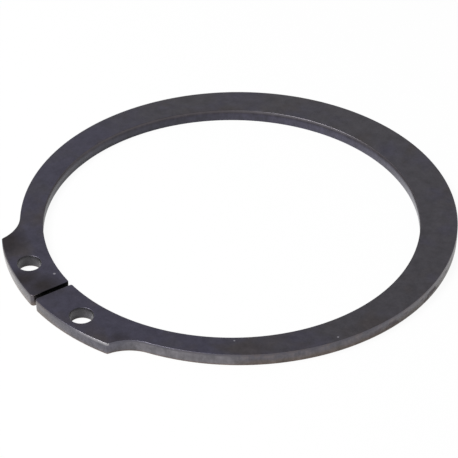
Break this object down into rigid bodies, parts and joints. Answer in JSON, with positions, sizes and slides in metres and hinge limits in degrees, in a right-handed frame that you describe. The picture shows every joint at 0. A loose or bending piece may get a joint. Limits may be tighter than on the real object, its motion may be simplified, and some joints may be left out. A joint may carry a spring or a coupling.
{
  "type": "circlip retaining ring",
  "caption": "Flat tapered spring-steel retaining ring for a groove in a shaft, split between two drilled lugs that pliers open.",
  "frame": {"origin": "centre of the free inner circle that grips the shaft, in the plane of the underside", "axes": "+Z along the shaft's axis, out of the rolled top face; the gap between the lugs faces -Y; +X towards the second lug"},
  "size_m": [0.0866, 0.0905, 0.0025],
  "materials": {
    "blackened_spring_steel": "oiled black oxide over stamped spring steel, satin"
  },
  "bodies": {
    "root": {"retaining_ring": "blackened_spring_steel"}
  },
  "joints": []
}
